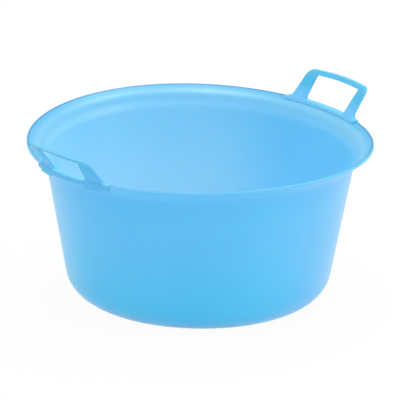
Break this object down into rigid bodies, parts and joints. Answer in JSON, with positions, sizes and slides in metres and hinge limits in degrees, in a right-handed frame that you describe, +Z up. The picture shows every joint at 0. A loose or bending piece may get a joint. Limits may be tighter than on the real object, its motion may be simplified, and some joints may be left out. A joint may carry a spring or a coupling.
{
  "type": "plastic basin",
  "caption": "Round tapered wash basin in thin plastic with a coved, turned-down rim and raised loop handles that lean outward on opposite sides.",
  "frame": {"origin": "middle of the foot ring's underside, on the surface that the basin stands on", "axes": "+X through the middle of the right handle, +Z up along the bowl's axis, +Y completes the right-handed frame"},
  "size_m": [0.4454, 0.4, 0.2216],
  "materials": {
    "bowl_plastic": "translucent light blue polypropylene, satin gloss",
    "handle_plastic": "translucent light blue polypropylene, thicker, satin gloss"
  },
  "bodies": {
    "root": {"bowl": "bowl_plastic", "handle_right": "handle_plastic", "handle_left": "handle_plastic"}
  },
  "joints": []
}
